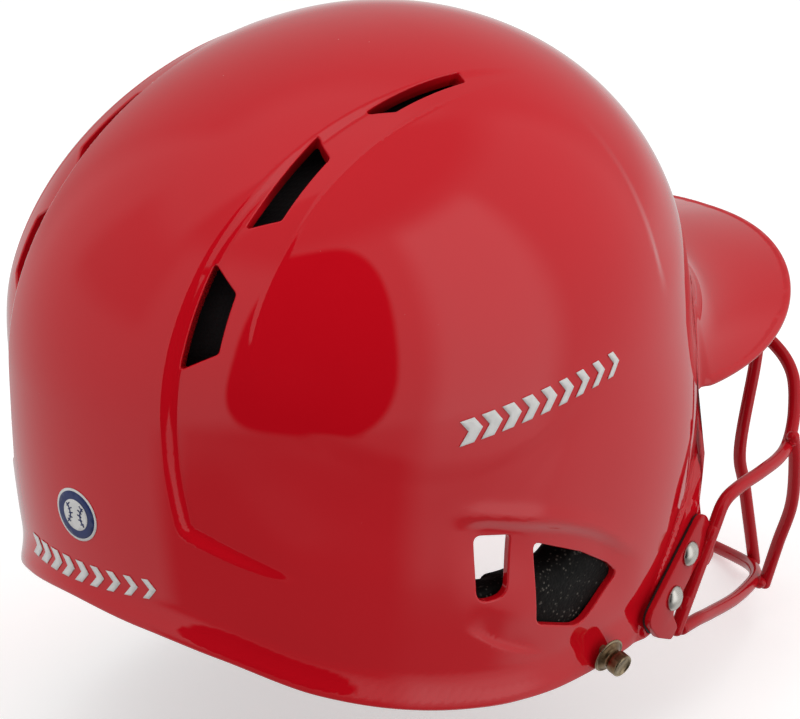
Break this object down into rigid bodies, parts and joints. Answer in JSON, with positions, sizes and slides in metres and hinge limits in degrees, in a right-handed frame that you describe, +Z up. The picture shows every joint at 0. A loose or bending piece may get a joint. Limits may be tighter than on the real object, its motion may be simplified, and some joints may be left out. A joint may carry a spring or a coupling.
{
  "type": "batting helmet",
  "caption": "Batting helmet: gloss moulded shell with visor, vents and two ear flaps, foam pads, chin strap studs and a coated wire face guard on screwed plates.",
  "frame": {"origin": "centre of the part in X and Y, at the lowest point of the face guard", "axes": "-Y is where the wearer looks, -X is the wearer's right, +Z is up towards the crown"},
  "size_m": [0.2146, 0.318, 0.2536],
  "materials": {
    "shell": "high gloss moulded red plastic",
    "guard": "red powder-coated steel",
    "rubber": "matt black rubber",
    "steel": "plated, slightly worn",
    "brass": "antique bronze plating",
    "foam": "black closed-cell foam with a knitted skin",
    "decal_white": "white vinyl print",
    "decal_navy": "navy vinyl print"
  },
  "bodies": {
    "root": {"shell": "shell", "guard_upper_wire": "guard", "guard_lower_wire": "guard", "guard_outer_upright_right": "guard", "guard_outer_upright_left": "guard", "guard_inner_upright_right": "guard", "guard_inner_upright_left": "guard", "guard_plate_right": "guard", "guard_plate_left": "guard", "spacer_right": "rubber", "spacer_left": "rubber", "guard_screws": "steel", "guard_nuts": "steel", "snap_stud_right": "brass", "snap_stud_left": "brass", "stud_washers": "brass", "crown_pad": "foam", "front_pad": "foam", "rear_pad": "foam", "side_pad_right": "foam", "side_pad_left": "foam", "ear_pad_right": "foam", "ear_pad_left": "foam", "side_decal_right": "decal_white", "side_decal_left": "decal_white", "rear_decal": "decal_white", "rear_badge": "decal_navy"}
  },
  "joints": []
}
